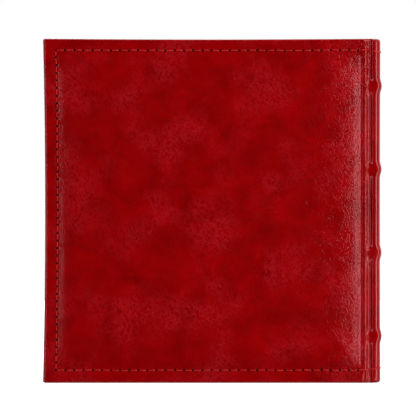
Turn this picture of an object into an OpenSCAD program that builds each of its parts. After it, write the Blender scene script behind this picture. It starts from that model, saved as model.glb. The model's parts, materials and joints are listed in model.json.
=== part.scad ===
// Stamp album: a stock book with padded leatherette covers and a raised-band spine.
// It stands closed on its tail edge. X runs from the fore edge (-) to the spine (+),
// Y from the back cover (-) to the front cover (+), and Z from the tail up to the head.
// The origin is in the middle of the footprint, on the surface the album stands on.

/* [Album] */
// Width over the covers and the spine bands
album_w = 222; // [200:1:250]
// Height of the covers
album_h = 225; // [200:1:250]
// Distance from the middle of the album to the inner face of a cover
block_half = 13; // [12.9:0.1:13.3]

/* [Covers] */
// Thickness of a cover board
board_t = 2.2; // [2:0.1:2.4]
// Thickness of the leatherette
skin_t = 0.6; // [0.5:0.1:0.7]
// Height of the padding at its crown
pad_h = 3.3; // [2:0.1:4]
// Width of the padding's sloping border
pad_slope = 14; // [8:1:20]
// Width of the leatherette turned in over the board
turn_in = 14; // [10:1:18]
// Thickness of the endpapers
paper_t = 0.3; // [0.2:0.05:0.3]

/* [Stitching] */
// Distance of the seam from the fore edge
seam_fore = 8.5; // [7:0.5:10]
// Distance of the seam from the head
seam_head = 7.5; // [6:0.5:9]
// Distance of the seam from the tail
seam_tail = 8.5; // [6:0.5:9]
// Distance from one stitch to the next along the head and the tail
stitch_pitch = 6; // [5.5:0.25:7]
// Distance from one stitch to the next up the fore edge
fore_pitch = 5; // [4.5:0.25:7]
// Gap between neighbouring stitches, where the needle hole is
stitch_gap = 1.2; // [1:0.1:2]
// Thickness of the thread
thread_t = 0.7; // [0.5:0.1:0.8]

/* [Spine] */
// Radius of the spine's rounded shoulders
shoulder_r = 5; // [4:0.1:5.4]
// Thickness of the spine board
spine_board_t = 1.8; // [1.4:0.1:1.9]
// How far a raised band stands out of the spine
band_h = 1.1; // [0.6:0.1:1.2]
// Width of a raised band along the spine
band_w = 12; // [8:0.5:14]
// Distance between neighbouring bands
band_pitch = 54.5; // [48:0.5:56]
// Depth of the joint groove
groove_d = 1.5; // [1:0.1:1.6]

/* [Leaves] */
// Distance from one leaf to the next
leaf_pitch = 2.3; // [2.2:0.05:2.35]
// Thickness of a leaf
leaf_t = 0.8; // [0.6:0.1:0.8]
// How far the covers stand out past the leaves
square_w = 4; // [3:0.5:5]
// Thickness of a clear strip
strip_t = 0.2; // [0.1:0.05:0.2]
// Height of a clear strip
strip_h = 24; // [20:1:26]
// Thickness of a glassine interleaf
glassine_t = 0.15; // [0.1:0.05:0.15]
// Width of the guards that hold the leaves
guard_w = 7.3; // [6:0.1:8]

/* [Hidden] */
LEAVES = 10;                  // the sheets of stock card, five in each half
STRIPS = 7;                   // the clear strips on one page
BANDS = 4;                    // the raised bands on the spine

spine_x = album_w / 2;                       // the crown of the raised bands
fore_x = -album_w / 2;                       // the fore edge of the covers
board_in = block_half + paper_t + skin_t;    // inner and outer faces of a cover board
board_out = board_in + board_t;
margin_y = board_out + skin_t;               // outer face of the stitched margin
hinge_x = spine_x - 8.3;                     // the cover's hinge line, in the joint groove
board_x = hinge_x - 2.6;                     // the board's edge beside the groove
crease_x = board_x - 3;                      // the pressed line along the padding

crown_y = margin_y - 0.1;                    // the shoulder's crown, level with the hinge line
back_x = spine_x - band_h;                   // the spine's back, between the bands
shoulder_x = back_x - shoulder_r;            // the centre of a shoulder's curve
shoulder_cy = crown_y - shoulder_r;
band_end = 45;                               // a band ends this far round the shoulder, in degrees

seam_x = fore_x + seam_fore;                 // the seam's line up the fore edge
seam_z = [seam_tail, album_h - seam_head];   // the seam's lines at the tail and the head
pad_inset = 0.6;                             // the padding stops this far inside the seam
pad_x = [seam_x + pad_inset, crease_x];
pad_z = [seam_z[0] + pad_inset, seam_z[1] - pad_inset];
pad_steps = 6;                               // facets on the padding's border

guard_x = hinge_x + 0.4;                     // the back of the guards
block_z = [square_w, album_h - square_w];    // tail and head of the leaves
pivot_x = guard_x - guard_w - 0.5;           // where the leaves bend
leaf_x = [fore_x + square_w, pivot_x - 1];
linen_t = 0.3;                               // thickness of the linen hinges
flyleaf_y = block_half - 1;                  // the middle of a flyleaf
glassine_y = leaf_t / 2 + strip_t + 0.2;     // an interleaf's middle, from its leaf's middle
gap = 0.1;                                   // clearance where a sheet meets its hinge
lining_t = 0.5;                              // thickness of the spine lining
bead_r = 1.3;                                // radius of a headband's bead
hem = 10;                                    // leatherette turned in at the spine's ends
eps = 0.01;

LEATHER = [0.52, 0.02, 0.03];
THREAD = [0.78, 0.13, 0.13];
BOARD = [0.55, 0.53, 0.5];
FOAM = [0.9, 0.88, 0.8];
PAPER = [0.93, 0.9, 0.83];
CARD = [0.09, 0.09, 0.1];
CLEAR = [0.8, 0.87, 0.92, 0.5];
GLASSINE = [0.9, 0.9, 0.86, 0.6];
LINEN = [0.75, 0.72, 0.66];

function two(n) = n < 10 ? str("0", n) : str(n);

// ---- Helpers -------------------------------------------------------------------------

// A block given by its lowest and highest values along each axis
module block(x, y, z)
    translate([x[0], y[0], z[0]]) cube([x[1] - x[0], y[1] - y[0], z[1] - z[0]]);

// What is drawn for the front (+Y) half, or its mirror image for the back half
module half(back) mirror([0, back ? 1 : 0, 0]) children();

// The unit normal, to the right of the way a line of points runs, at point i. Both ends run along X.
function normal(p, i) = i == 0 || i == len(p) - 1 ? [0, -1] :
    let (d = p[i + 1] - p[i - 1]) [d[1], -d[0]] / norm(d);

// The closed outline of a sheet of thickness t on the right of a line of points
function sheet(p, t) = concat(p, [for (i = [len(p) - 1:-1:0]) p[i] + t * normal(p, i)]);

// ---- Covers --------------------------------------------------------------------------

// Rise of the padding from its edge (u = 0) to the end of its slope (u = 1)
function rise(u) = pad_h * (1 - (1 - u) * (1 - u));

// A mound over the span ends, with sloping borders, above the height base
function mound(ends, base) = concat(
    [[ends[0], base - skin_t]],
    [for (i = [0:pad_steps]) [ends[0] + pad_slope * i / pad_steps, base + rise(i / pad_steps)]],
    [for (i = [pad_steps:-1:0]) [ends[1] - pad_slope * i / pad_steps, base + rise(i / pad_steps)]],
    [[ends[1], base - skin_t]]);

// The pillow form: a mound across the cover and a mound up the cover, where they meet
module pillow(base) intersection() {
    linear_extrude(album_h) polygon(mound(pad_x, base));
    translate([fore_x, 0, 0]) rotate([90, 0, 90]) linear_extrude(album_w)
        polygon([for (p = mound(pad_z, base)) [p[1], p[0]]]);
}

module board(back) color(BOARD) half(back)
    block([fore_x + skin_t, board_x], [board_in, board_out], [skin_t, album_h - skin_t]);

module padding(back) color(FOAM) half(back) difference() {
    pillow(board_out);
    block([fore_x, spine_x], [0, board_out], [0, album_h]);
}

module leather(back) color(LEATHER) half(back) difference() {
    union() {
        block([fore_x, board_x], [block_half + paper_t, margin_y], [0, album_h]);
        pillow(margin_y);
    }
    block([fore_x + skin_t, board_x + 1], [board_in, board_out], [skin_t, album_h - skin_t]);
    intersection() {
        pillow(board_out);
        block([fore_x, spine_x], [board_out - eps, album_w], [0, album_h]);
    }
    block([fore_x + turn_in, board_x + 1], [0, board_in + eps], [turn_in, album_h - turn_in]);
}

module pastedown(back) color(PAPER) half(back) {
    visible = 5;
    block([fore_x + visible, board_x], [block_half, block_half + paper_t], [visible, album_h - visible]);
    block([fore_x + turn_in, board_x], [block_half + paper_t, board_in], [turn_in, album_h - turn_in]);
}

// One stitch lying on the leatherette: w wide along X and h high, with its middle at x and z
module stitch(x, z, w, h) translate([x - w / 2, margin_y, z - h / 2]) cube([w, thread_t / 2, h]);

module stitching(back) color(THREAD) half(back) {
    along = floor((board_x - seam_x) / stitch_pitch);
    up = floor((seam_z[1] - seam_z[0]) / fore_pitch);
    middle = (seam_z[0] + seam_z[1]) / 2;
    for (z = seam_z, i = [0:along - 1])
        stitch(seam_x + (i + 0.5) * stitch_pitch, z, stitch_pitch - stitch_gap, thread_t);
    for (i = [0:up - 1])
        stitch(seam_x, middle + (i - (up - 1) / 2) * fore_pitch, thread_t, fore_pitch - stitch_gap);
}

// ---- Joints --------------------------------------------------------------------------

// Outer face of the leatherette across the groove, from the board to the shoulder's crown
function groove_y(x) =
    let (w = x < hinge_x ? hinge_x - board_x : shoulder_x - hinge_x, top = x < hinge_x ? margin_y : crown_y)
    top - (top - margin_y + groove_d) * (1 + cos(180 * (x - hinge_x) / w)) / 2;

module joint_leather(back) color(LEATHER) half(back) {
    steps = 12;
    across = [for (i = [0:steps])
        let (x = board_x + gap + (shoulder_x - board_x - 2 * gap) * i / steps) [x, groove_y(x)]];
    translate([0, 0, skin_t]) linear_extrude(album_h - 2 * skin_t) polygon(sheet(across, skin_t));
}

// The endpaper's fold, from the pastedown round to the outermost guard and the flyleaf
module endpaper_fold(back) color(PAPER) half(back) {
    fold_x = hinge_x - 0.4;
    low = flyleaf_y - paper_t / 2;
    x0 = leaf_x[1] + gap;
    translate([0, 0, block_z[0]]) linear_extrude(block_z[1] - block_z[0]) polygon([
        [x0, low], [fold_x, low], [fold_x, block_half + paper_t], [board_x + gap, block_half + paper_t],
        [board_x + gap, block_half], [fold_x - paper_t, block_half], [fold_x - paper_t, low + paper_t],
        [x0, low + paper_t]]);
}

// ---- Leaves --------------------------------------------------------------------------

function leaf_y(n) = ((LEAVES + 1) / 2 - n) * leaf_pitch;

module flyleaf(back) color(PAPER) half(back)
    block(leaf_x, [flyleaf_y - paper_t / 2, flyleaf_y + paper_t / 2], block_z);

module leaf(n) color(CARD) block(leaf_x, [leaf_y(n) - leaf_t / 2, leaf_y(n) + leaf_t / 2], block_z);

// The clear strips on both pages of a leaf, each open along its upper edge
module strips(n) color(CLEAR) {
    side_margin = 7;
    rows = (block_z[1] - block_z[0]) / (STRIPS + 0.25);
    for (face = [-1, 1], i = [0:STRIPS - 1]) {
        y = leaf_y(n) + face * leaf_t / 2 - (face < 0 ? strip_t : 0);
        z = block_z[0] + (i + 0.25) * rows;
        block([leaf_x[0] + side_margin, leaf_x[1] - side_margin], [y, y + strip_t], [z, z + strip_h]);
    }
}

// The interleaf between leaf n and leaf n + 1; it lies against the one nearer its cover
module interleaf(n) color(GLASSINE) {
    root = 4;
    y = n <= LEAVES / 2 ? leaf_y(n) - glassine_y : leaf_y(n + 1) + glassine_y;
    block([leaf_x[0] + 1, leaf_x[1] - root], [y - glassine_t / 2, y + glassine_t / 2],
        [block_z[0] + 1, block_z[1] - 1]);
}

// The linen tapes that run from between the guards to the leaves of one half
module leaf_hinges(back) color(LINEN) half(back)
    for (n = [1:LEAVES / 2])
        block([leaf_x[1] + gap, guard_x], [leaf_y(n) - linen_t / 2, leaf_y(n) + linen_t / 2], block_z);

// The card strips that space the leaves apart along the spine
module guards() color(CARD) {
    for (n = [1:LEAVES - 1])
        block([guard_x - guard_w, guard_x], [leaf_y(n + 1) + linen_t / 2, leaf_y(n) - linen_t / 2], block_z);
    for (back = [false, true]) half(back)
        block([guard_x - guard_w, guard_x], [leaf_y(1) + linen_t / 2, flyleaf_y - paper_t / 2], block_z);
}

// ---- Spine ---------------------------------------------------------------------------

// The height of the middle of band i
function band_z(i) = album_h / 2 + (i - (BANDS - 1) / 2) * band_pitch;

// The outline of band i, as [rise, height] points
function band(i) = [for (d = [-1:0.2:1]) [band_h * (1 + cos(180 * d)) / 2, band_z(i) + d * band_w / 2]];

// Carries a profile of [distance out from the spine's outer face, height] points over the
// spine's back and round each shoulder as far as the angle reach; 90 is the shoulder's crown
module around_spine(profile, reach = 90) {
    translate([back_x, shoulder_cy, 0]) rotate([90, 0, 0]) linear_extrude(2 * shoulder_cy) polygon(profile);
    for (back = [false, true]) half(back)
        translate([shoulder_x, shoulder_cy, 0])
            rotate_extrude(angle = reach, $fn = 120) polygon([for (p = profile) [shoulder_r + p[0], p[1]]]);
}

module spine_leather() color(LEATHER) {
    board_back = -skin_t - spine_board_t;
    difference() {
        union() {
            around_spine([
                [-skin_t, 0], [0, skin_t], [0, album_h - skin_t], [-skin_t, album_h],
                [board_back - skin_t, album_h], [board_back - skin_t, album_h - hem],
                [board_back, album_h - hem], [board_back, album_h - skin_t], [-skin_t, album_h - skin_t],
                [-skin_t, skin_t], [board_back, skin_t], [board_back, hem],
                [board_back - skin_t, hem], [board_back - skin_t, 0]]);
            for (i = [0:BANDS - 1]) around_spine(band(i), band_end);
        }
        raised_bands();
    }
}

// A moulded card that is rounded over at both shoulders
module spine_board() color(BOARD) around_spine([
    [-skin_t - spine_board_t, skin_t], [-skin_t, skin_t],
    [-skin_t, album_h - skin_t], [-skin_t - spine_board_t, album_h - skin_t]]);

// The bands' cores stop short of the leatherette's ends, which close over them
module raised_bands() color(BOARD)
    for (i = [0:BANDS - 1]) around_spine([for (p = band(i)) p - [skin_t, 0]], band_end - 6);

// The seam's thread where it runs over the spine at the head and the tail
module spine_stitching() color(THREAD)
    for (z = seam_z) around_spine([[0, z - thread_t / 2], [thread_t / 2, z - thread_t / 2],
        [thread_t / 2, z + thread_t / 2], [0, z + thread_t / 2]]);

// The cloth and kraft lining glued to the backs of the guards
module spine_lining() color(LINEN)
    block([guard_x, guard_x + lining_t], [-flyleaf_y, flyleaf_y], block_z);

// A headband: a bead on the block's end with a tape glued down behind the lining
module headband(top) color(THREAD) translate([0, 0, album_h / 2]) mirror([0, 0, top ? 0 : 1]) {
    tape_h = 9;
    tape_t = 0.4;
    end_z = block_z[1] - album_h / 2;
    translate([guard_x - bead_r + lining_t + tape_t, 0, end_z + bead_r]) rotate([90, 0, 0])
        cylinder(r = bead_r, h = 2 * flyleaf_y, center = true, $fn = 48);
    block([guard_x + lining_t, guard_x + lining_t + tape_t], [-flyleaf_y, flyleaf_y],
        [end_z - tape_h, end_z + bead_r]);
}

// ---- The album -----------------------------------------------------------------------

board(false);  // front_board
board(true);  // back_board
padding(false);  // front_padding
padding(true);  // back_padding
leather(false);  // front_leather
leather(true);  // back_leather
stitching(false);  // front_stitching
stitching(true);  // back_stitching
pastedown(false);  // front_pastedown
pastedown(true);  // back_pastedown
joint_leather(false);  // front_joint_leather
joint_leather(true);  // back_joint_leather
endpaper_fold(false);  // front_endpaper_fold
endpaper_fold(true);  // back_endpaper_fold
flyleaf(false);  // front_flyleaf
flyleaf(true);  // back_flyleaf
leaf_hinges(false);  // front_leaf_hinges
leaf_hinges(true);  // back_leaf_hinges
spine_leather();
spine_board();
raised_bands();
spine_stitching();
spine_lining();
guards();
headband(true);  // headband_top
headband(false);  // headband_bottom
for (n = [1:LEAVES]) leaf(n);
for (n = [1:LEAVES]) strips(n);
for (n = [1:LEAVES - 1]) interleaf(n);
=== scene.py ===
"""Looks of the stamp album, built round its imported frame.

Lengths are in millimetres until a mesh is made, which multiplies them by MM. The leatherette is one
sheet that runs from the fore edge of the front cover, round the spine, to the fore edge of the back
cover. It is described by s, which is x on a cover and runs on round the spine's shoulder, and by z.
"""
import json
import math

import bmesh
import bpy
import numpy as np
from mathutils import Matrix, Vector


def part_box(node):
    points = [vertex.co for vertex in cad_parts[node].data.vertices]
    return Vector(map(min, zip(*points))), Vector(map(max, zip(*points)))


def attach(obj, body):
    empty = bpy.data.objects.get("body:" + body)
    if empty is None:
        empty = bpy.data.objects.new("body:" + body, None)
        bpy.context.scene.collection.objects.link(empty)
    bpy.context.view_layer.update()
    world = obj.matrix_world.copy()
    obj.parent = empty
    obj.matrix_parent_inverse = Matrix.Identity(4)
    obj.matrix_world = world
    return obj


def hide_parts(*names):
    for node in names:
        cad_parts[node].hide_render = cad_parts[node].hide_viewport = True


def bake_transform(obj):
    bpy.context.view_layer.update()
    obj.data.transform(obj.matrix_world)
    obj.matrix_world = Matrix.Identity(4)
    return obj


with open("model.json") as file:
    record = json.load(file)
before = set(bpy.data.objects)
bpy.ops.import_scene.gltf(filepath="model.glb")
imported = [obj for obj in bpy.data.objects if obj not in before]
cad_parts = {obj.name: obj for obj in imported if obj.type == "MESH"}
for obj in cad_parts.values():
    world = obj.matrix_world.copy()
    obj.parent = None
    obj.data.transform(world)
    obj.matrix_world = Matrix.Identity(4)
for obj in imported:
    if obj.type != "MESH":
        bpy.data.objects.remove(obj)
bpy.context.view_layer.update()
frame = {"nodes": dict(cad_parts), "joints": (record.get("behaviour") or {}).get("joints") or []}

MM = 0.001


def span(node):
    """Lowest and highest corner of a CAD node, in millimetres."""
    low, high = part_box(node)
    return np.array(low) / MM, np.array(high) / MM


def joint_place(name):
    """A joint's place in millimetres."""
    joint = next(j for j in frame["joints"] if j["name"] == name)
    return np.array(joint["pos_m"]) / MM


# ---- Measures from the frame ---------------------------------------------------------

cover_low, cover_high = span("front_leather")
spine_high = span("spine_leather")[1]
seam_low, seam_high = span("front_stitching")
bands_low, bands_high = span("raised_bands")
hinge = joint_place("front_cover_hinge")

FORE_X = cover_low[0]                # fore edge of the covers
BOARD_X = cover_high[0]              # the boards' edge beside the joint
HEIGHT = cover_high[2]
INNER_Y = cover_low[1]               # inner face of a cover's turn-ins
MARGIN_Y = seam_low[1]               # outer face of a cover's stitched margin
PAD_H = cover_high[1] - MARGIN_Y     # crown of the padding above the margin
CROWN_Y = spine_high[1]              # crown of the spine's shoulders
SPINE_X = spine_high[0]              # back of the raised bands
HINGE_X = hinge[0]

THREAD_R = 0.44                      # radius of the seam's thread
THREAD_SIDES = 12
THREAD_LAY = 5.4                     # length of a turn of its plies
THREAD_LIFT = 0.2                    # how high it runs over the joint and the spine
THREAD_DRIFT = 0.9                   # how far its ends stray from the seam's line there
SEAM_HALF = 0.35                     # half the width of the CAD's stitches
SEAM_X = seam_low[0] + SEAM_HALF     # the seam's line up the fore edge
SEAM_TAIL = seam_low[2] + SEAM_HALF
SEAM_HEAD = seam_high[2] - SEAM_HALF
SEAM_PITCH = 6.0                     # along the head and the tail
FORE_PITCH = 5.0                     # up the fore edge
SEAM_DIP = 0.22                      # how deep the seam is drawn in
HOLE_DIP = 0.32                      # and how much deeper each needle hole is
HOLE_CLEAR = 0.7                     # how far a stitch's ends stay from its holes' middles
STITCH_SINK = 0.75                   # how deep a stitch's ends go
STITCH_LIFT = 0.34                   # and how high its middle stands

BAND_W = 12.0
BAND_H = 1.1
BAND_Z = np.linspace(bands_low[2] + BAND_W / 2, bands_high[2] - BAND_W / 2, 4)
BAND_SHIFT = 2.1                     # how far a band draws the shoulder's crown outwards

SHOULDER_R = 5.0
SHOULDER_POWER = 2.25                # 2 is round, more is squarer
SHOULDER_X = SPINE_X - BAND_H - SHOULDER_R
S_BACK = SHOULDER_X + SHOULDER_R * math.pi / 2      # where s reaches the flat back
S_MID = S_BACK + CROWN_Y - SHOULDER_R               # the middle of the back
CREASE_X = BOARD_X - 3.2             # pressed line along the padding
CREASE_D = 0.55
RIDGE_X = BOARD_X - 0.8              # where the joint groove's wall starts down
GROOVE_D = 1.7
PAD_X = (SEAM_X + 0.9, BOARD_X - 4.2)
PAD_Z = (SEAM_TAIL + 0.9, SEAM_HEAD - 0.9)
PAD_SLOPE = 15.0

FORE_R = 2.3                         # radius of the fore edge's outer side
STEP_W = 1.1                         # over which the thickness changes at a board's edge
FORE_HOLLOW = 1.4                    # how far the fore edge is drawn in at its middle
SPINE_HOLLOW = 0.35                  # and the spine's back
HEAD_SAG = 0.5                       # how far the head dips at the middle of its width
GRID = 0.75                          # spacing of the leatherette's mesh on a cover
SIDES = {"front": 1, "back": -1}

VIEW_X, VIEW_Z = -3.0, 114.3         # the camera's place
VIEW_DISTANCE = 1700.0
VIEW_WIDTH = 271.6                   # how much of the cover's plane it takes in


# ---- Meshes --------------------------------------------------------------------------

def mesh_object(name, points, faces, material, smooth=True):
    """A mesh object from points in millimetres."""
    mesh = bpy.data.meshes.new(name)
    mesh.from_pydata((np.asarray(points, float) * MM).tolist(), [], faces)
    mesh.polygons.foreach_set("use_smooth", [smooth] * len(mesh.polygons))
    mesh.materials.append(material)
    mesh.validate()
    made = bpy.data.objects.new(name, mesh)
    bpy.context.scene.collection.objects.link(made)
    return made


def point_outwards(made):
    """Turns the faces of closed shells outwards."""
    work = bmesh.new()
    work.from_mesh(made.data)
    bmesh.ops.recalc_face_normals(work, faces=work.faces)
    work.to_mesh(made.data)
    work.free()
    return made


def shell(name, form, material, smooth=True):
    """A closed piece, or several in one, from the points and faces in form."""
    return point_outwards(mesh_object(name, *form, material, smooth))


def loft(rings, closed_ends=True):
    """Points and faces of a tube through rings of points, an array of (rings, points, 3)."""
    count, size = rings.shape[:2]
    i, j = np.meshgrid(np.arange(count - 1), np.arange(size), indexing="ij")
    k = (j + 1) % size
    quads = np.stack([i * size + j, i * size + k, (i + 1) * size + k, (i + 1) * size + j], -1)
    faces = quads.reshape(-1, 4).tolist()
    if closed_ends:
        faces.append(list(range(size))[::-1])
        faces.append(list(range((count - 1) * size, count * size)))
    return rings.reshape(-1, 3), faces


def join(parts):
    """Several (points, faces) as one."""
    points, faces, base = [], [], 0
    for p, f in parts:
        points.append(p)
        faces += [[v + base for v in face] for face in f]
        base += len(p)
    return np.concatenate(points), faces


def ease(t):
    t = np.clip(t, 0, 1)
    return t * t * (3 - 2 * t)


# ---- Small irregularities ------------------------------------------------------------

class Ripple:
    """A smooth random height, about -1 to 1, with waves between the two lengths given."""

    def __init__(self, seed, shortest, longest, waves=14):
        rng = np.random.default_rng(seed)
        length = np.exp(rng.uniform(np.log(shortest), np.log(longest), waves))
        angle = rng.uniform(0, math.pi, waves)
        self.kx = 2 * math.pi * np.cos(angle) / length
        self.kz = 2 * math.pi * np.sin(angle) / length
        self.phase = rng.uniform(0, 2 * math.pi, waves)
        self.size = length / length.mean() / waves ** 0.5

    def __call__(self, s, z):
        total = np.zeros(np.broadcast(s, z).shape)
        for kx, kz, phase, size in zip(self.kx, self.kz, self.phase, self.size):
            total += size * np.sin(kx * s + kz * z + phase)
        return total


# ---- Padding -------------------------------------------------------------------------

def rise(t):
    """The padding's sloping border, from 0 at its edge to 1 at the end of the slope."""
    t = np.clip(t, 0, 1)
    return 1 - (1 - t) ** 2


def pillow(x, z):
    """The padding's height before it is inflated."""
    across = rise((x - PAD_X[0]) / PAD_SLOPE) * rise((PAD_X[1] - x) / PAD_SLOPE)
    up = rise((z - PAD_Z[0]) / PAD_SLOPE) * rise((PAD_Z[1] - z) / PAD_SLOPE)
    return across * up


PAD_CELL = 4.0                       # spacing of the simulated cloth's mesh
CLOTH_START = 0.85                   # its height at the start, as a share of the padding's
CLOTH_FRAMES = 20
CLOTH_PRESSURE = -1.5                # negative swells it away from the board
CLOTH_STIFFNESS = 40
CLOTH_BENDING = 0.5
CLOTH_SHRINK = 0.0025
CLOTH_SHARE = 0.4                    # how much of the padding's form is the cloth's


def inflate():
    """The padded panel's height as a grid, from a cloth that swells over the foam. It is held
    along the seam and the crease."""
    nx = int((PAD_X[1] - PAD_X[0]) / PAD_CELL) + 1
    nz = int((PAD_Z[1] - PAD_Z[0]) / PAD_CELL) + 1
    x, z = np.meshgrid(np.linspace(*PAD_X, nx), np.linspace(*PAD_Z, nz), indexing="ij")
    plain = pillow(x, z)
    wander = Ripple(11, 18, 60)
    start = CLOTH_START * PAD_H * plain
    start += 0.12 * wander(x, z) * plain
    points = np.stack([x, start, z], -1).reshape(-1, 3)
    faces = [[i * nz + j, (i + 1) * nz + j, (i + 1) * nz + j + 1, i * nz + j + 1]
             for i in range(nx - 1) for j in range(nz - 1)]
    panel = mesh_object("panel_cloth", points, faces, None)
    edge = [i * nz + j for i in range(nx) for j in range(nz)
            if i in (0, nx - 1) or j in (0, nz - 1)]
    panel.vertex_groups.new(name="held").add(edge, 1.0, "REPLACE")
    cloth = panel.modifiers.new("cloth", "CLOTH")
    settings = cloth.settings
    settings.effector_weights.gravity = 0
    settings.vertex_group_mass = "held"
    settings.use_pressure = True
    settings.uniform_pressure_force = CLOTH_PRESSURE
    settings.tension_stiffness = CLOTH_STIFFNESS
    settings.compression_stiffness = CLOTH_STIFFNESS
    settings.bending_stiffness = CLOTH_BENDING
    settings.shrink_min = CLOTH_SHRINK
    scene = bpy.context.scene
    for number in range(1, CLOTH_FRAMES + 1):
        scene.frame_set(number)
    solved = panel.evaluated_get(bpy.context.evaluated_depsgraph_get()).to_mesh()
    moved = np.zeros(nx * nz * 3)
    solved.vertices.foreach_get("co", moved)
    scene.frame_set(1)
    bpy.data.objects.remove(panel)
    lift = moved.reshape(nx, nz, 3)[..., 1] / MM
    share = lift / max(lift.max(), 0.1)
    return CLOTH_SHARE * np.clip(share, 0, 1) + (1 - CLOTH_SHARE) * plain


def sample(grid, u, v):
    """A grid read at 0 to 1 along both axes, with smooth (Catmull-Rom) steps between its values."""
    def weights(t):
        return (-0.5 * t + t * t - 0.5 * t ** 3, 1 - 2.5 * t * t + 1.5 * t ** 3,
                0.5 * t + 2 * t * t - 1.5 * t ** 3, -0.5 * t * t + 0.5 * t ** 3)
    a = np.clip(u, 0, 1) * (grid.shape[0] - 1)
    b = np.clip(v, 0, 1) * (grid.shape[1] - 1)
    ia = np.minimum(a.astype(int), grid.shape[0] - 2)
    ib = np.minimum(b.astype(int), grid.shape[1] - 2)
    total = 0
    for m, wa in enumerate(weights(a - ia)):
        for n, wb in enumerate(weights(b - ib)):
            rows = np.clip(ia + m - 1, 0, grid.shape[0] - 1)
            cols = np.clip(ib + n - 1, 0, grid.shape[1] - 1)
            total = total + wa * wb * grid[rows, cols]
    return total


# ---- The leatherette's surface -------------------------------------------------------

def swell(z):
    """1 at the middle of a raised band, 0 between the bands."""
    near = np.abs(np.asarray(z)[..., None] - BAND_Z).min(-1)
    return np.where(near < BAND_W / 2, (1 + np.cos(2 * math.pi * near / BAND_W)) / 2, 0)


def seam_holes():
    """The needle holes of a cover as (s, z), along the tail, up the fore edge, along the head."""
    last = BOARD_X - 5.2
    along = np.linspace(SEAM_X, last, round((last - SEAM_X) / SEAM_PITCH) + 1)
    up = np.linspace(SEAM_TAIL, SEAM_HEAD, round((SEAM_HEAD - SEAM_TAIL) / FORE_PITCH) + 1)
    tail = [(s, SEAM_TAIL) for s in along[::-1]]
    fore = [(SEAM_X, z) for z in up[1:-1]]
    head = [(s, SEAM_HEAD) for s in along]
    holes = np.array(tail + fore + head)
    rng = np.random.default_rng(5)
    holes += rng.normal(0, 0.14, holes.shape)
    return holes


LAST_HOLE_S = BOARD_X + 1.4

# Small folds at the ends of the joint: from (s, z) to (s, z), half width, height
HEAD_FOLDS = [
    (98.4, HEIGHT - 1.0, 100.6, HEIGHT - 4.4, 0.7, 0.26),
    (101.6, HEIGHT - 0.8, 103.4, HEIGHT - 3.2, 0.7, 0.3),
    (98.0, HEIGHT - 3.2, 101.6, HEIGHT - 6.4, 0.7, -0.2),
]
TAIL_FOLDS = [
    (99.6, 7.0, 98.6, 0.6, 0.5, -0.6),
    (99.6, 1.0, 101.8, 3.6, 0.8, 0.26),
    (104.0, 6.0, 105.2, 0.8, 0.7, 0.26),
]


def fold_height(s, z, folds):
    total = np.zeros(np.broadcast(s, z).shape)
    for s0, z0, s1, z1, wide, high in folds:
        run = np.array([s1 - s0, z1 - z0])
        t = np.clip(((s - s0) * run[0] + (z - z0) * run[1]) / (run @ run), 0, 1)
        away = np.hypot(s - s0 - t * run[0], z - z0 - t * run[1])
        total += high * np.exp(-(away / wide) ** 2)
    return total


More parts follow.
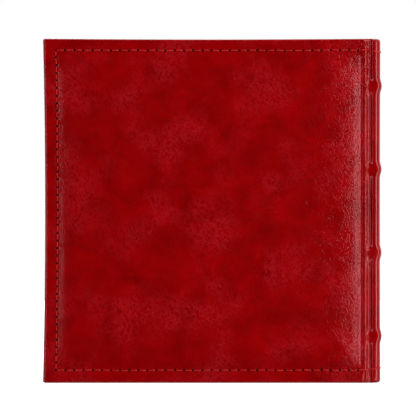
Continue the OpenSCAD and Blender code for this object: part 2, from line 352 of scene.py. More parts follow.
class Sheet:
    """The leatherette of one half, side 1 for the front and -1 for the back."""

    def __init__(self, side, pad):
        self.side = side
        self.pad = pad if side < 0 else pad[:, ::-1]
        seed = 100 if side < 0 else 200
        self.broad = Ripple(seed, 22, 70)
        self.fine = Ripple(seed + 1, 5, 14)
        self.slow = Ripple(seed + 2, 25, 60, 6)
        self.holes = seam_holes()

    def relief(self, s, z):
        """Height over the margin's plane of the crease, the ridge and the joint groove. Each band
        draws the leatherette flat between the ridge and the shoulder."""
        drawn = np.exp(-(((np.asarray(z)[..., None] - BAND_Z + 1) / 4.6) ** 2)).sum(-1)
        wander = self.slow(0 * s, z)
        ends = ease((z - SEAM_TAIL) / 7) * ease((SEAM_HEAD - z) / 7)
        crease = -CREASE_D * ends * np.exp(-((s - CREASE_X) / 0.9) ** 2)
        down = ease((s - RIDGE_X) / (HINGE_X - RIDGE_X))
        up = ease((s - HINGE_X) / (SHOULDER_X - HINGE_X))
        depth = GROOVE_D * (1 - 0.62 * drawn) * (1 + 0.14 * wander)
        taut = 0.35 * swell(z) * ease((s - RIDGE_X) / (SHOULDER_X - RIDGE_X))
        taut = taut * np.clip((S_BACK - s) / 4, 0, 1)
        return crease - depth * down * (1 - up) - (MARGIN_Y - CROWN_Y) * up + taut

    def height(self, s, z):
        """Height of the padding, the seam's dip, the needle holes and the wrinkles."""
        s_pad = s + 0.45 * self.slow(0 * s, z) * ease((s - PAD_X[1] + 20) / 15)
        u = (s_pad - PAD_X[0]) / (PAD_X[1] - PAD_X[0])
        v = (z - PAD_Z[0]) / (PAD_Z[1] - PAD_Z[0])
        inside = (u > 0) & (u < 1) & (v > 0) & (v < 1)
        padding = np.where(inside, PAD_H * sample(self.pad, u, v), 0)
        soft = np.where(inside, np.clip(padding / PAD_H * 3, 0, 1), 0)
        padding = padding + soft * (0.07 * self.broad(s, z) + 0.015 * self.fine(s, z))
        on_cover = ease((BOARD_X - 2 - s) / 3)
        across = np.minimum(np.abs(z - SEAM_TAIL), np.abs(z - SEAM_HEAD))
        off_end = np.clip(SEAM_X - s, 0, None)
        near = np.hypot(across, off_end)
        beyond = np.clip(np.maximum(SEAM_TAIL - z, z - SEAM_HEAD), 0, None)
        near = np.minimum(near, np.hypot(np.abs(s - SEAM_X), beyond))
        dip = -SEAM_DIP * np.exp(-(near / 1.3) ** 2) * on_cover
        folds = fold_height(s, z, HEAD_FOLDS if self.side < 0 else HEAD_FOLDS[:2])
        folds = folds + fold_height(s, z, TAIL_FOLDS if self.side < 0 else TAIL_FOLDS[1:])
        loose = 0.05 * self.fine(s * 1.3, z * 1.5) * ease((s - CREASE_X + 1) / 2) \
            * ease((SHOULDER_X - s) / 2)
        return padding + dip + folds + loose

    def hole_dips(self, s, z):
        total = np.zeros(np.broadcast(s, z).shape)
        for hs, hz in self.holes:
            total -= HOLE_DIP * np.exp(-((s - hs) ** 2 + (z - hz) ** 2) / 0.8)
        return total

    def place(self, s, z, depth=0.0, dips=False):
        """Points on the sheet at s and z, as far below its outer face as depth."""
        s, z, depth = np.broadcast_arrays(np.asarray(s, float), z, depth)
        share = np.clip(1 - depth / thick(s), 0, 1)
        follows = 1 - (1 - share) * ease((BOARD_X + STEP_W - s) / STEP_W)
        band = swell(z)
        turn = np.clip((s - SHOULDER_X) / SHOULDER_R, 0, math.pi / 2)
        flat = np.clip(s - S_BACK, 0, None)
        past = ease((s - HINGE_X) / (SHOULDER_X - HINGE_X))
        reach = SHOULDER_R - band * (BAND_SHIFT - BAND_H) * share
        round_x = np.sin(turn) ** (2 / SHOULDER_POWER)
        round_y = np.cos(turn) ** (2 / SHOULDER_POWER)
        x = np.minimum(s, SHOULDER_X) + BAND_SHIFT * band * past * share + reach * round_x
        x = x - SPINE_HOLLOW * past * np.sin(math.pi * z / HEIGHT) * ease((s - S_BACK + 8) / 8)
        y = MARGIN_Y + self.relief(s, z) * follows - SHOULDER_R * (1 - round_y) - flat
        extra = self.height(s, z)
        if dips:
            extra = extra + self.hole_dips(s, z)
        away = extra * share - depth
        x = x + away * np.sin(turn)
        y = y + away * np.cos(turn)
        pull = FORE_HOLLOW * (1 - ((z - HEIGHT / 2) / (HEIGHT / 2)) ** 2)
        x = x + pull * np.clip((HINGE_X - s) / (HINGE_X - FORE_X), 0, 1)
        sag = HEAD_SAG * (z / HEIGHT) * (1 - (np.minimum(s, HINGE_X) / FORE_X) ** 2)
        return np.stack([x, y * self.side, z - sag], -1)


def in_turn(s, cover, joint, spine):
    """A measure that differs over a cover, the joint and the spine."""
    return cover + (joint - cover) * ease((s - BOARD_X) / STEP_W) \
        + (spine - joint) * ease((s - SHOULDER_X + STEP_W) / STEP_W)


def thick(s):
    """Thickness of the covered board: a cover's, the joint's two layers, or the spine's."""
    return in_turn(s, MARGIN_Y - INNER_Y, 1.2, 3.0)


def edge_radius(s, outer):
    """Radius of the rounded head and tail edges, on the outer or the inner side."""
    return in_turn(s, *((1.25, 0.6, 2.1) if outer else (0.9, 0.5, 0.7)))


def spaced(low, high, step):
    """Values from low to high about step apart."""
    return np.linspace(low, high, max(2, round((high - low) / step) + 1))


QUARTER = np.radians([22.5, 45, 67.5, 90])


def rows(s, trim):
    """Heights and depths of the closed loop round the sheet at each s, with trim from 0 to 1 as
    the loop closes in at the fore edge. Also the distance along the loop."""
    t = thick(s)
    outer, inner = edge_radius(s, True), edge_radius(s, False)
    width = np.cos(trim * math.pi / 2)
    d0 = FORE_R * (1 - width)
    d1 = t - inner * (1 - width)
    small = 0.35 + 0.65 * width
    ro, ri = outer * small, inner * small
    low = 0.9 * (1 - width)
    high = HEIGHT - low
    z, depth = [], []

    def put(zz, dd):
        z.append(zz)
        depth.append(dd)

    for u in spaced(0, 1, GRID / HEIGHT):
        put(low + ro + (high - low - ro - ro) * u, d0)
    for a in QUARTER:
        put(high - ro + ro * np.sin(a), d0 + ro * (1 - np.cos(a)))
    for a in QUARTER[::-1]:
        put(high - ri + ri * np.sin(a), d1 - ri * (1 - np.cos(a)))
    steps = np.concatenate([np.linspace(0, 0.075, 19), np.linspace(0.12, 0.88, 10),
                            np.linspace(0.925, 1, 19)])
    for u in steps:
        put(high - ri - (high - low - ri - ri) * u, d1)
    for a in QUARTER:
        put(low + ri - ri * np.sin(a), d1 - ri * (1 - np.cos(a)))
    for a in QUARTER[::-1]:
        put(low + ro - ro * np.sin(a), d0 + ro * (1 - np.cos(a)))
    z, depth = np.stack(z, 1), np.stack(depth, 1)
    far = np.hypot(np.diff(z[0]), np.diff(depth[0]))
    return z, depth, np.concatenate([[0], np.cumsum(far)])


def cover_columns():
    """The values of s across a cover, and how far the loop closes in at each."""
    trim = np.linspace(1, 0, 11)
    cap = FORE_X + FORE_R * (1 - np.sin(trim * math.pi / 2))
    rest = spaced(FORE_X + FORE_R, BOARD_X - 6, GRID)[1:]
    fine = spaced(BOARD_X - 6, BOARD_X, 0.4)[1:]
    s = np.concatenate([cap, rest, fine])
    return s, np.concatenate([trim, np.zeros(len(rest) + len(fine))])


def normals_of(grid):
    """Vertex normals of a grid of (columns, rows) that closes on itself along its rows."""
    along = np.gradient(grid, axis=0)
    around = np.roll(grid, -1, axis=1) - np.roll(grid, 1, axis=1)
    n = np.cross(around, along)
    return n / np.maximum(np.linalg.norm(n, axis=-1, keepdims=True), 1e-9)


def end_cap(ring, first, outwards):
    """Triangles that close a tall narrow ring, from its tail to its head. first is the number of
    the ring's first point, and outwards the way the cap faces."""
    z = ring[:, 2]
    low, high = int(z.argmin()), int(z.argmax())
    count = len(ring)
    left = [(low + k) % count for k in range((high - low) % count + 1)]
    right = [(low - k) % count for k in range((low - high) % count + 1)]
    i = j = 0
    faces = []
    while i < len(left) - 1 or j < len(right) - 1:
        a, b = left[i], right[j]
        if j == len(right) - 1 or (i < len(left) - 1 and z[left[i + 1]] <= z[right[j + 1]]):
            i += 1
            faces.append([a, left[i], b])
        else:
            j += 1
            faces.append([a, right[j], b])
    a, b, c = (ring[k] for k in faces[len(faces) // 2])
    if np.cross(b - a, c - a) @ outwards < 0:
        faces = [face[::-1] for face in faces]
    return [[first + k for k in face] for face in faces]


def skin_piece(name, grid, normals, q, far, material):
    """A closed piece of leatherette from a slice of the whole sheet's grid. q is the distance
    round the album and far that along a loop: together they are its texture's coordinates."""
    points, faces = loft(grid, closed_ends=False)
    size = grid.shape[1]
    faces += end_cap(grid[0], 0, (grid[0] - grid[1]).mean(0))
    faces += end_cap(grid[-1], len(points) - size, (grid[-1] - grid[-2]).mean(0))
    made = mesh_object(name, points, faces, material)
    mesh = made.data
    layer = mesh.uv_layers.new(name="lay")
    corner = np.zeros(len(mesh.loops), int)
    mesh.loops.foreach_get("vertex_index", corner)
    u, v = q[corner // size], far[corner % size]
    layer.data.foreach_set("uv", (np.stack([u, v], -1) * MM).ravel())
    mesh.normals_split_custom_set_from_vertices(normals.reshape(-1, 3).tolist())
    return made


# ---- Thread --------------------------------------------------------------------------

def unit(v):
    return v / np.maximum(np.linalg.norm(v, axis=-1, keepdims=True), 1e-9)


def thread(path, up):
    """A three-ply twisted thread along path, an array of points. up is roughly its upper side."""
    tangent = unit(np.gradient(path, axis=0))
    across = unit(np.cross(tangent, up))
    over = np.cross(across, tangent)
    gone = np.concatenate([[0], np.cumsum(np.linalg.norm(np.diff(path, axis=0), axis=1))])
    angle = np.linspace(0, 2 * math.pi, THREAD_SIDES, endpoint=False)[None, :]
    lay = gone[:, None] * 2 * math.pi / THREAD_LAY
    size = THREAD_R * (0.9 + 0.16 * np.cos(3 * (angle - lay)))
    taper = np.clip(np.minimum(gone, gone[-1] - gone) / 0.5, 0.55, 1)[:, None]
    ring = size * taper
    rings = path[:, None, :] + (ring * np.cos(angle))[..., None] * across[:, None, :] \
        + (ring * np.sin(angle))[..., None] * over[:, None, :]
    return loft(rings)


def stitch(sheet, start, end, bow):
    """One stitch between two needle holes, each an (s, z)."""
    t = np.linspace(0, 1, 17)
    run = np.subtract(end, start)
    length = np.hypot(*run)
    start = np.add(start, run * HOLE_CLEAR / length)
    run = run * (1 - 2 * HOLE_CLEAR / length)
    aside = np.array([-run[1], run[0]]) / length
    s, z = start[:, None] + run[:, None] * t + aside[:, None] * bow * np.sin(math.pi * t)
    arch = np.sin(math.pi * t) ** 0.4
    path = sheet.place(s, z, STITCH_SINK - (STITCH_SINK + STITCH_LIFT) * arch)
    return thread(path, np.array([0, sheet.side, 0]))


def needle_hole_shade(sheet, s, z):
    """A slightly dished needle hole, coloured near-black: painted shade for the dark inside of the
    hole.
    """
    angle = np.linspace(0, 2 * math.pi, 14, endpoint=False)
    rings = [sheet.place([s], [z], 0.14)]
    for radius, depth in ((0.4, 0.1), (0.72, 0.0)):
        rings.append(sheet.place(s + radius * np.cos(angle), z + radius * np.sin(angle), depth))
    rings.append(sheet.place(s + 0.55 * np.cos(angle), z + 0.55 * np.sin(angle), 0.5))
    count = len(angle)
    faces = [[0, 1 + k, 1 + (k + 1) % count] for k in range(count)]
    for ring in range(2):
        a = 1 + ring * count
        faces += [[a + k, a + count + k, a + count + (k + 1) % count, a + (k + 1) % count]
                  for k in range(count)]
    faces.append([1 + 2 * count + k for k in range(count)])
    return np.concatenate(rings), faces


def make_seam(name, sheet, materials):
    """The stitches and the needle holes of a cover. The holes are near-black dished pieces: painted
    shade.
    """
    rng = np.random.default_rng(31 if sheet.side < 0 else 32)
    holes = sheet.holes
    stitches = [stitch(sheet, a, b, rng.uniform(0.05, 0.3)) for a, b in zip(holes[:-1], holes[1:])]
    seam = shell(name + "_seam_stitches", join(stitches), materials["thread"])
    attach(seam, name + "_cover")
    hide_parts(name + "_stitching")
    # Near-black dished pieces at the holes: painted shade for the dark inside of each hole.
    shaded_holes = [needle_hole_shade(sheet, s, z) for s, z in holes]
    shaded_hole = shell(name + "_needle_holes", join(shaded_holes), materials["hole"])
    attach(shaded_hole, name + "_cover")


def bridge(sheet, z, drift):
    """The thread's free run from the last needle hole over the groove to the shoulder."""
    count = 22
    s = np.linspace(LAST_HOLE_S, SHOULDER_X + 0.6, count)
    t = np.linspace(0, 1, count)
    height = z + drift * t + 0.25 * np.sin(9 * t)
    path = sheet.place(s, height, -THREAD_LIFT)
    first, last = path[3, 1], path[-1, 1]
    chord = first + (last - first) * (np.arange(count) - 3) / (count - 4)
    out = np.maximum(path[:, 1] * sheet.side, chord * sheet.side - 0.25 * np.sin(math.pi * t))
    path[3:, 1] = sheet.side * out[3:]
    path[0, 1] -= sheet.side * 0.8
    path[1, 1] -= sheet.side * 0.2
    return thread(path, np.array([0, sheet.side, 0]))


def make_joint_thread(name, sheet, materials, ends):
    """The seam's last stitch and its run over the joint, at the tail and the head. ends holds the
    height and the drift of each run, which the spine's thread continues."""
    last = sheet.holes[0][0]
    parts = []
    shaded_holes = []
    for z, drift in ends:
        parts.append(stitch(sheet, (last, z), (LAST_HOLE_S, z), 0.15))
        parts.append(bridge(sheet, z, drift))
        # the last needle hole, near-black: painted shade
        shaded_holes.append(needle_hole_shade(sheet, LAST_HOLE_S, z))
    for label, pieces, slot in (("_joint_thread", parts, "thread"),
                                ("_joint_hole_shade", shaded_holes, "hole")):
        made = shell(name + label, join(pieces), materials[slot])
        bend_at_joint(made)


def bend_at_joint(made):
    """Bakes a piece's placement into its mesh, for a piece that lies over the joint, between a
    cover and the spine.
    """
    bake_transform(made)


def make_spine_thread(sheets, materials, ends):
    """The seam's thread over the spine, at the tail and the head."""
    half = np.concatenate([spaced(SHOULDER_X + 0.3, S_BACK, 0.45), spaced(S_BACK, S_MID, 0.9)[1:]])
    parts = []
    for z, drift in ends:
        wave = z + drift * (1 + 0.5 * np.sin((half - SHOULDER_X) / 3.1))
        front = sheets["front"].place(half, wave, -THREAD_LIFT)
        back = sheets["back"].place(half, wave, -THREAD_LIFT)[::-1][1:]
        path = np.concatenate([front, back])
        up = unit(np.stack([path[:, 0] - SHOULDER_X + 2, path[:, 1], 0 * path[:, 0]], -1))
        parts.append(thread(path, up))
    made = shell("spine_thread", join(parts), materials["thread"])
    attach(made, "album_spine")
    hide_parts("spine_stitching")


# ---- Leatherette pieces --------------------------------------------------------------

def half_grid(sheet):
    """The points of one half of the sheet, from the fore edge to the middle of the spine."""
    s, trim = cover_columns()
    joint = spaced(BOARD_X, SHOULDER_X, 0.24)[1:]
    spine = np.concatenate([spaced(SHOULDER_X, S_BACK, 0.4)[1:], spaced(S_BACK, S_MID, 0.8)[1:]])
    counts = (len(s), len(joint))
    s = np.concatenate([s, joint, spine])
    trim = np.concatenate([trim, np.zeros(len(joint) + len(spine))])
    z, depth, far = rows(s, trim)
    return s, sheet.place(s[:, None], z, depth, dips=True), far, counts


def make_leatherette(sheets, material):
    """Both padded covers, both joints and the spine, cut from one continuous sheet."""
    s, front, far, (n_cover, n_joint) = half_grid(sheets["front"])
    back = half_grid(sheets["back"])[1]
    grid = np.concatenate([front, back[::-1][1:]])
    q = np.concatenate([s, (2 * S_MID - s)[::-1][1:]])
    normals = normals_of(grid)
    total = len(q)
    cuts = [0, n_cover - 1, n_cover + n_joint - 1]
    cuts += [total - 1 - c for c in cuts[::-1]]
    names = ["front_padded_cover", "front_joint_skin", "spine_skin", "back_joint_skin",
             "back_padded_cover"]
    made = {}
    for name, first, last in zip(names, cuts[:-1], cuts[1:]):
        part = slice(first, last + 1)
        made[name] = skin_piece(name, grid[part], normals[part], q[part], far, material)
    for name in SIDES:
        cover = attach(made[name + "_padded_cover"], name + "_cover")
        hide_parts(name + "_leather", name + "_padding", name + "_board")
        joint = made[name + "_joint_skin"]
        bend_at_joint(joint)
        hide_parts(name + "_joint_leather")
    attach(made["spine_skin"], "album_spine")
    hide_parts("spine_leather")


# ---- Paper and linen round the folds -------------------------------------------------

def slab(upper, lower, z_low, z_high):
    """A closed strip between two chains of (x, y) points, from z_low to z_high."""
    z = spaced(z_low, z_high, 18)
    rings = []
    for a, b in zip(upper, lower):
        top = [(a[0], a[1], h) for h in z]
        rings.append(top + [(b[0], b[1], h) for h in z[::-1]])
    return loft(np.array(rings))


def chain_normals(chain):
    run = unit(np.gradient(chain, axis=0))
    return np.stack([-run[:, 1], run[:, 0]], -1)


def strip(chain, thickness, z_low, z_high):
    """A strip of even thickness round the middle line chain."""
    chain = np.array(chain, float)
    off = chain_normals(chain) * thickness / 2
    return slab(chain + off, chain - off, z_low, z_high)


def curve_through(points):
    """A smooth line through a few points."""
    points = np.array(points, float)
    knots = np.concatenate([[0], np.cumsum(np.linalg.norm(np.diff(points, axis=0), axis=1))])
    at = spaced(0, knots[-1], 0.25)
    line = np.stack([np.interp(at, knots, points[:, k]) for k in range(2)], -1)
    for _ in range(6):
        line[1:-1] = (line[:-2] + 2 * line[1:-1] + line[2:]) / 4
    return line


def make_endpaper_bends(name, materials):
    """The endpaper across the inner joint, and the flyleaf's root beside it."""
    side = SIDES[name]
    low, high = span(name + "_endpaper_fold")
    paper = 0.3
    y_fly = (low[1] if side > 0 else -high[1]) + paper / 2
    y_paste = (high[1] if side > 0 else -low[1]) - paper / 2
    fold_x = high[0]
    chain = curve_through([(BOARD_X - 0.1, y_paste), (fold_x - 0.6, y_paste),
                           (fold_x - 0.1, y_fly + 0.6), (fold_x - 0.5, y_fly + 0.16)])
    chain[:, 1] *= side
    gutter = shell(name + "_endpaper_gutter", strip(chain, paper, low[2], high[2]),
                   materials["endpaper"])
    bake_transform(gutter)
    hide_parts(name + "_endpaper_fold")
    pivot = joint_place(name + "_flyleaf_hinge")[0]
    root_x = span(name + "_flyleaf")[1][0]
    x = np.concatenate([spaced(root_x, pivot + 1, 0.1), [fold_x]])
    root = np.stack([x, np.full(len(x), y_fly * side)], -1)
    piece = shell(name + "_flyleaf_root", strip(root, paper, low[2], high[2]),
                  materials["endpaper"])
    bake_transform(piece)


def make_leaf_hinge(number, materials):
    """The linen tape that wraps a leaf's edge and runs between the guards."""
    leaf = f"leaf_{number:02d}"
    name = "front" if number <= 5 else "back"
    low, high = span(leaf)
    pivot = joint_place(leaf + "_hinge")[0]
    guard_x = span("guards")[1][0]
    y = (low[1] + high[1]) / 2
    over, linen = (high[1] - low[1]) / 2 + 0.12, 0.15
    x = np.concatenate([[high[0] - 6.3, high[0] - 6.2], [high[0] + 0.05],
                        spaced(high[0] + 0.3, pivot + 1, 0.12), [guard_x - 0.02]])
    half = np.where(x < high[0] + 0.1, over, linen)
    half[0] = over - 0.1
    upper, lower = np.stack([x, y + half], -1), np.stack([x, y - half], -1)
    tape = shell(leaf + "_linen_hinge", slab(upper, lower, low[2], high[2]),
                 materials["linen"], smooth=False)
    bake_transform(tape)
    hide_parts(name + "_leaf_hinges")


# ---- Materials -----------------------------------------------------------------------

def linear(red, green, blue):
    """An sRGB colour of 0 to 255 as a linear colour."""
    def one(c):
        c = c / 255
        return c / 12.92 if c < 0.04045 else ((c + 0.055) / 1.055) ** 2.4
    return (one(red), one(green), one(blue), 1.0)


class Nodes:
    """A material with short calls for its nodes."""

    def __init__(self, name, coords="Object", **settings):
        self.material = bpy.data.materials.new(name)
        self.material.use_nodes = True
        self.tree = self.material.node_tree
        self.shader = self.tree.nodes["Principled BSDF"]
        place = self.tree.nodes.new("ShaderNodeTexCoord")
        self.coords = place.outputs[coords]
        for key, value in settings.items():
            label = key.replace("_", " ").title().replace("Ior", "IOR")
            self.shader.inputs[label].default_value = value

    def put(self, node, inputs):
        for key, value in inputs.items():
            if isinstance(value, bpy.types.NodeSocket):
                self.tree.links.new(value, node.inputs[key])
            else:
                node.inputs[key].default_value = value

    def mapped(self, scale=(1, 1, 1), turn=0.0, coords=None):
        """Coordinates turned by degrees, then drawn out by scale."""
        node = self.tree.nodes.new("ShaderNodeMapping")
        node.vector_type = "TEXTURE"
        self.put(node, {"Vector": coords or self.coords, "Scale": scale,
                        "Rotation": (0, 0, math.radians(turn))})
        return node.outputs["Vector"]

    def noise(self, scale, detail=2.0, rough=0.5, distort=0.0, coords=None):
        node = self.tree.nodes.new("ShaderNodeTexNoise")
        self.put(node, {"Vector": coords or self.coords, "Scale": scale, "Detail": detail,
                        "Roughness": rough, "Distortion": distort})
        return node.outputs["Fac"]

    def shifted(self, scale, far):
        """Coordinates moved at random by up to far millimetres."""
        noise = self.tree.nodes.new("ShaderNodeTexNoise")
        self.put(noise, {"Vector": self.coords, "Scale": scale, "Detail": 2.0})
        node = self.tree.nodes.new("ShaderNodeVectorMath")
        node.operation = "MULTIPLY_ADD"
        self.put(node, {0: noise.outputs["Color"], 1: (far * MM,) * 3, 2: self.coords})
        return node.outputs["Vector"]

    def creases(self, scale, coords):
        """A web of winding creases, 1 along each."""
        noise = self.noise(scale, detail=2, rough=0.5, coords=coords)
        return self.ramp(noise, (0.42, 0.0), (0.5, 1.0), (0.58, 0.0))

    def waves(self, scale, axis, distort):
        node = self.tree.nodes.new("ShaderNodeTexWave")
        node.bands_direction = axis
        self.put(node, {"Vector": self.coords, "Scale": scale, "Distortion": distort,
                        "Detail": 1.0})
        return node.outputs["Fac"]

    def ramp(self, fac, *stops):
        """Maps a value through (position, colour or grey) stops."""
        node = self.tree.nodes.new("ShaderNodeValToRGB")
        elements = node.color_ramp.elements
        for number, (at, colour) in enumerate(stops):
            element = elements[number] if number < 2 else elements.new(at)
            element.position = at
            element.color = colour if hasattr(colour, "__len__") else (colour,) * 3 + (1,)
        self.put(node, {"Fac": fac})
        return node.outputs["Color"]

    def sums(self, kind, a, b):
        node = self.tree.nodes.new("ShaderNodeMath")
        node.operation = kind
        self.put(node, {0: a, 1: b})
        return node.outputs["Value"]

    def range(self, value, low, high):
        """Maps low to high onto 0 to 1."""
        node = self.tree.nodes.new("ShaderNodeMapRange")
        node.interpolation_type = "SMOOTHSTEP"
        self.put(node, {"Value": value, "From Min": low, "From Max": high})
        return node.outputs["Result"]

    def mix(self, fac, a, b):
        node = self.tree.nodes.new("ShaderNodeMix")
        node.data_type = "RGBA"
        sockets = {k.identifier: k for k in node.inputs}
        for key, value in (("Factor_Float", fac), ("A_Color", a), ("B_Color", b)):
            if isinstance(value, bpy.types.NodeSocket):
                self.tree.links.new(value, sockets[key])
            else:
                sockets[key].default_value = value
        return next(o for o in node.outputs if o.identifier == "Result_Color")

    def bump(self, height, distance, strength=1.0, under=None):
        """Bump of a height of 0 to 1, distance in millimetres deep."""
        node = self.tree.nodes.new("ShaderNodeBump")
        self.put(node, {"Height": height, "Distance": distance * MM, "Strength": strength})
        if under is not None:
            self.tree.links.new(under, node.inputs["Normal"])
        return node.outputs["Normal"]

    def finish(self, **sockets):
        names = {"colour": "Base Color", "rough": "Roughness", "normal": "Normal", "alpha": "Alpha"}
        self.put(self.shader, {names[k]: v for k, v in sockets.items()})
        return self.material


RED_DARK = linear(150, 0, 1)
RED_MID = linear(186, 0, 5)
RED_LIGHT = linear(216, 36, 46)
WORKED_NEAR, WORKED_FAR = 8, 50      # the deeper creases fade out between these, from the joint


def leatherette():
    """Glossy red leatherette: a clouded dye, a crumpled web of soft creases that is paler in
    patches, and a fine grain. The web is deeper beside the joints, where the leatherette is worked,
    and it is drawn smooth over the spine."""
    m = Nodes("leatherette", coords="UV", roughness=0.3, ior=1.5, specular_tint=(1, 0.5, 0.55, 1))
    clouds = m.noise(58, detail=5, rough=0.6, distort=0.4)
    dye = m.ramp(clouds, (0.3, RED_DARK), (0.7, RED_MID))
    shifted = m.shifted(260, 1.6)
    falling = m.creases(470, m.mapped((1, 2.6, 1), -34, shifted))
    rising = m.creases(430, m.mapped((1, 2.2, 1), 42, shifted))
    web = m.sums("MAXIMUM", falling, m.sums("MULTIPLY", rising, 0.75))
    patches = m.ramp(m.noise(34, detail=3), (0.47, 0.0), (0.64, 1.0))
    veined = m.sums("MULTIPLY", m.sums("MULTIPLY", web, patches), 0.5)
    colour = m.mix(veined, dye, RED_LIGHT)
    split = m.tree.nodes.new("ShaderNodeSeparateXYZ")
    m.put(split, {"Vector": m.coords})
    x = split.outputs["X"]
    stretched = m.range(x, (HINGE_X - 1) * MM, (SHOULDER_X - 0.5) * MM)
    back_x = (2 * S_MID - SHOULDER_X) * MM
    slack_again = m.range(x, back_x + 0.0005, back_x + 0.003)
    smooth = m.sums("SUBTRACT", stretched, slack_again)
    nearing = m.range(x, (BOARD_X - WORKED_FAR) * MM, (BOARD_X - WORKED_NEAR) * MM)
    back_board = 2 * S_MID - BOARD_X
    leaving = m.range(x, (back_board + WORKED_NEAR) * MM, (back_board + WORKED_FAR) * MM)
    worked = m.sums("ADD", m.sums("MULTIPLY", m.sums("SUBTRACT", nearing, leaving), 0.5), 0.5)
    relief = m.mix(smooth, m.sums("MULTIPLY", web, worked), (0.4, 0.4, 0.4, 1))
    first = m.bump(relief, 0.1, 0.9)
    last = m.bump(m.noise(2200, detail=1), 0.03, 0.5, under=first)
    rough = m.ramp(m.noise(150, detail=3), (0.3, 0.17), (0.7, 0.27))
    rough = m.mix(smooth, rough, (0.13, 0.13, 0.13, 1))
    return m.finish(colour=colour, rough=rough, normal=last)


def thread_material():
    m = Nodes("seam_thread", roughness=0.6, specular_ior_level=0.3,
              specular_tint=(1, 0.5, 0.5, 1))
    colour = m.ramp(m.noise(900, detail=2), (0.3, linear(190, 20, 22)), (0.7, linear(244, 52, 50)))
    fibres = m.noise(5200, detail=2)
    return m.finish(colour=colour, normal=m.bump(fibres, 0.05, 0.6))


# Near-black needle holes: painted shade for the dark inside of each hole.
def hole_shade_material():
    m = Nodes("needle_hole_shade", roughness=0.8, specular_ior_level=0.1)
    return m.finish(colour=m.ramp(m.noise(900), (0.3, linear(14, 1, 1)), (0.7, linear(40, 4, 4))))


def board_material(name, dark, light):
    """Greyboard and card: mottled pulp with specks."""
    m = Nodes(name, roughness=0.85)
    colour = m.ramp(m.noise(900, detail=5, rough=0.7), (0.3, dark), (0.7, light))
    specks = m.ramp(m.noise(3500, detail=2), (0.66, 0.0), (0.72, 0.5))
    pulp = m.noise(2600, detail=4, rough=0.7)
    return m.finish(colour=m.mix(specks, colour, dark), normal=m.bump(pulp, 0.05, 0.5))


def paper_material():
    """Cream endpaper with long fibres and a faint laid texture."""
    m = Nodes("endpaper", roughness=0.7)
    mottle = m.noise(70, detail=5, rough=0.6)
    fibres = m.noise(1500, detail=4, rough=0.7, distort=1.5)
    colour = m.ramp(mottle, (0.3, linear(232, 224, 204)), (0.7, linear(243, 237, 221)))
    flecks = m.ramp(fibres, (0.68, 0.0), (0.76, 0.45))
    colour = m.mix(flecks, colour, linear(205, 192, 166))
    return m.finish(colour=colour, normal=m.bump(fibres, 0.04, 0.5))


def card_material():
    """Black stock card with fine fibres and slightly rubbed patches."""
    m = Nodes("black_card", roughness=0.62)
    fibres = m.noise(2200, detail=4, rough=0.7, distort=1.0)
    colour = m.ramp(fibres, (0.3, linear(24, 24, 27)), (0.75, linear(46, 46, 50)))
    rubbed = m.ramp(m.noise(45, detail=4), (0.5, 0.0), (0.8, 0.4))
    colour = m.mix(rubbed, colour, linear(58, 58, 62))
    rough = m.ramp(m.noise(90, detail=3), (0.3, 0.5), (0.7, 0.72))
    return m.finish(colour=colour, rough=rough, normal=m.bump(fibres, 0.05, 0.5))


def film_material():
    """Clear film, with faint streaks and scuffs."""
    m = Nodes("clear_film", roughness=0.12, ior=1.45)
    streaks = m.noise(300, detail=3, coords=m.mapped((12, 1, 1)))
    alpha = m.ramp(streaks, (0.35, 0.14), (0.75, 0.26))
    rough = m.ramp(m.noise(500, detail=3), (0.3, 0.08), (0.7, 0.22))
    colour = m.ramp(streaks, (0.3, linear(196, 208, 214)), (0.7, linear(226, 232, 236)))
    return m.finish(colour=colour, rough=rough, alpha=alpha, normal=m.bump(streaks, 0.05, 0.4))


def glassine_material():
    m = Nodes("glassine", roughness=0.38)
    fibres = m.noise(260, detail=6, rough=0.7, distort=2.0)
    alpha = m.ramp(fibres, (0.3, 0.5), (0.7, 0.66))
    colour = m.ramp(fibres, (0.3, linear(222, 220, 208)), (0.7, linear(240, 239, 230)))
    return m.finish(colour=colour, alpha=alpha, normal=m.bump(fibres, 0.06, 0.5))


def linen_material():
    """A plain weave, with its threads uneven and its colour a little flecked, and painted shade
    darkening the gaps between its threads.
    """
    m = Nodes("linen", roughness=0.85, sheen_weight=0.2)
    over = m.waves(620, "Z", distort=1.2)
    along = m.waves(620, "X", distort=1.2)
    weave = m.sums("MAXIMUM", over, along)
    slubs = m.noise(420, detail=3, coords=m.mapped((7, 1, 1)))
    colour = m.ramp(slubs, (0.3, linear(176, 166, 146)), (0.7, linear(212, 204, 186)))
    # painted shade: darker where the weave dips between its threads
    colour = m.mix(m.ramp(weave, (0.2, 0.5), (0.7, 0.0)), colour, linear(120, 110, 94))
    return m.finish(colour=colour, normal=m.bump(weave, 0.12, 0.7))


def headband_material():
    """Red and cream woven stripes."""
    m = Nodes("headband_cloth", roughness=0.6, sheen_weight=0.3)
    stripes = m.waves(210, "Y", distort=0.3)
    colour = m.ramp(stripes, (0.42, linear(158, 16, 20)), (0.56, linear(238, 228, 204)))
    weave = m.waves(900, "Y", distort=0.6)
    return m.finish(colour=colour, normal=m.bump(weave, 0.15, 0.7))


def make_materials():
    return {
        "leatherette": leatherette(),
        "thread": thread_material(),
        "hole": hole_shade_material(),
        "greyboard": board_material("greyboard", linear(120, 114, 104), linear(158, 152, 140)),
        "endpaper": paper_material(),
        "card": card_material(),
        "film": film_material(),
        "glassine": glassine_material(),
        "linen": linen_material(),
        "headband": headband_material(),
    }


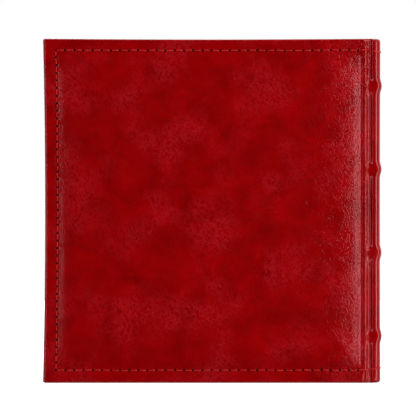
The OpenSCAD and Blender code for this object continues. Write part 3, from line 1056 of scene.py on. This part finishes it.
NODE_MATERIALS = (
    ("leaf_0", "card"), ("leaf_1", "card"), ("strips_", "film"), ("interleaf_", "glassine"),
    ("guards", "card"), ("headband_", "headband"), ("spine_lining", "linen"),
    ("spine_board", "greyboard"), ("raised_bands", "greyboard"),
    ("front_pastedown", "endpaper"), ("back_pastedown", "endpaper"),
    ("front_flyleaf", "endpaper"), ("back_flyleaf", "endpaper"),
)


def dress_nodes(materials):
    """Gives each CAD node that stays in sight its material."""
    for name, node in frame["nodes"].items():
        kind = next((k for start, k in NODE_MATERIALS if name.startswith(start)), None)
        if kind:
            node.data.materials.clear()
            node.data.materials.append(materials[kind])


# ---- Floor, light and camera ---------------------------------------------------------

# Soft boxes: the angle to the right of the camera's side in degrees, the height of the box's
# middle, its distance, width and height, in metres, and its power in watts
SOFT_BOXES = {
    "right_box": (50, 0.2, 1.3, 0.5, 1.7, 14.5),
    "left_box": (-55, 0.2, 1.3, 0.25, 1.7, 6.5),
    "top_box": (180, 1.35, 0.3, 1.8, 1.2, 14),
    "rear_box": (-160, 0.5, 1.5, 1.2, 1.2, 14),
}
FLOOR_R = 1500                       # the floor's radius and the backdrop's
DOME_R = 6000
WORLD_LIGHT = 0.02


def soft_box(name, angle, height, distance, wide, tall, watts):
    """A soft box that faces the album's middle."""
    light = bpy.data.lights.new(name, "AREA")
    light.shape = "RECTANGLE"
    light.size, light.size_y, light.energy = wide, tall, watts
    made = bpy.data.objects.new(name, light)
    a = math.radians(angle)
    middle = np.array([0, 0, HEIGHT * MM / 2])
    spot = np.array([distance * math.sin(a), -distance * math.cos(a), height])
    made.location = spot
    made.rotation_euler = Vector(middle - spot).to_track_quat("-Z", "Y").to_euler()
    bpy.context.scene.collection.objects.link(made)


def disc(name, radius, material):
    """A round sheet at the album's foot."""
    size = 64
    angle = np.linspace(0, 2 * math.pi, size, endpoint=False)
    points = np.stack([radius * np.cos(angle), radius * np.sin(angle), 0 * angle], -1)
    return mesh_object(name, points, [list(range(size))], material)


def half_dome(name, radius, first, material):
    """Half of a round backdrop, over the half turn that starts at the angle first, in degrees."""
    size = 31
    a, up = np.meshgrid(np.radians(first + np.linspace(0, 180, size)),
                        np.radians(np.linspace(-90, 90, size)), indexing="ij")
    points = radius * np.stack([np.cos(up) * np.cos(a), np.cos(up) * np.sin(a), np.sin(up)], -1)
    faces = [[i * size + j, (i + 1) * size + j, (i + 1) * size + j + 1, i * size + j + 1]
             for i in range(size - 1) for j in range(size - 1)]
    return mesh_object(name, points.reshape(-1, 3), faces, material)


def make_stage():
    """A floor and a backdrop that glow white, and the soft boxes that light the album. Of the two,
    only the backdrop behind the album shows in its gloss."""
    pale = Nodes("studio_floor", roughness=0.9, emission_strength=0.9,
                 emission_color=(1, 1, 1, 1), specular_ior_level=0.1)
    grain = pale.noise(4, detail=2)
    floor = disc("studio_floor", FLOOR_R, pale.finish(
        colour=pale.ramp(grain, (0.3, linear(240, 240, 240)), (0.7, linear(246, 246, 246)))))
    white = Nodes("backdrop", roughness=1.0, emission_strength=1.0, emission_color=(1, 1, 1, 1),
                  specular_ior_level=0.0)
    white.finish(colour=white.ramp(white.noise(1), (0.3, 0.0), (0.7, 0.01)))
    behind = half_dome("backdrop", DOME_R, 0, white.material)
    before = half_dome("near_backdrop", DOME_R, 180, white.material)
    for sheet in (floor, behind, before):
        sheet.visible_diffuse = False
        sheet.visible_glossy = sheet is behind
        sheet.visible_shadow = False
    world = bpy.data.worlds.new("studio")
    world.use_nodes = True
    bpy.context.scene.world = world
    glow = world.node_tree.nodes["Background"]
    glow.inputs["Color"].default_value = (1, 1, 1, 1)
    glow.inputs["Strength"].default_value = WORLD_LIGHT
    for name, place in SOFT_BOXES.items():
        soft_box(name, *place)


def make_camera():
    """Square on to the back cover, with a long lens."""
    lens = bpy.data.cameras.new("camera")
    lens.lens = lens.sensor_width * (VIEW_DISTANCE - MARGIN_Y) / VIEW_WIDTH
    lens.clip_end = 50
    camera = bpy.data.objects.new("camera", lens)
    camera.location = np.array([VIEW_X, -VIEW_DISTANCE, VIEW_Z]) * MM
    camera.rotation_euler = (math.pi / 2, 0, 0)
    bpy.context.scene.collection.objects.link(camera)
    bpy.context.scene.camera = camera


# ---- The album -----------------------------------------------------------------------

def main():
    materials = make_materials()
    dress_nodes(materials)
    pad = inflate()
    sheets = {name: Sheet(side, pad) for name, side in SIDES.items()}
    make_leatherette(sheets, materials["leatherette"])
    ends = [(SEAM_TAIL, THREAD_DRIFT), (SEAM_HEAD, -THREAD_DRIFT)]
    for name in SIDES:
        make_seam(name, sheets[name], materials)
        make_joint_thread(name, sheets[name], materials, ends)
        make_endpaper_bends(name, materials)
    make_spine_thread(sheets, materials, ends)
    for number in range(1, 11):
        make_leaf_hinge(number, materials)
    make_stage()
    make_camera()
    bpy.context.scene.view_settings.view_transform = "Standard"


main()
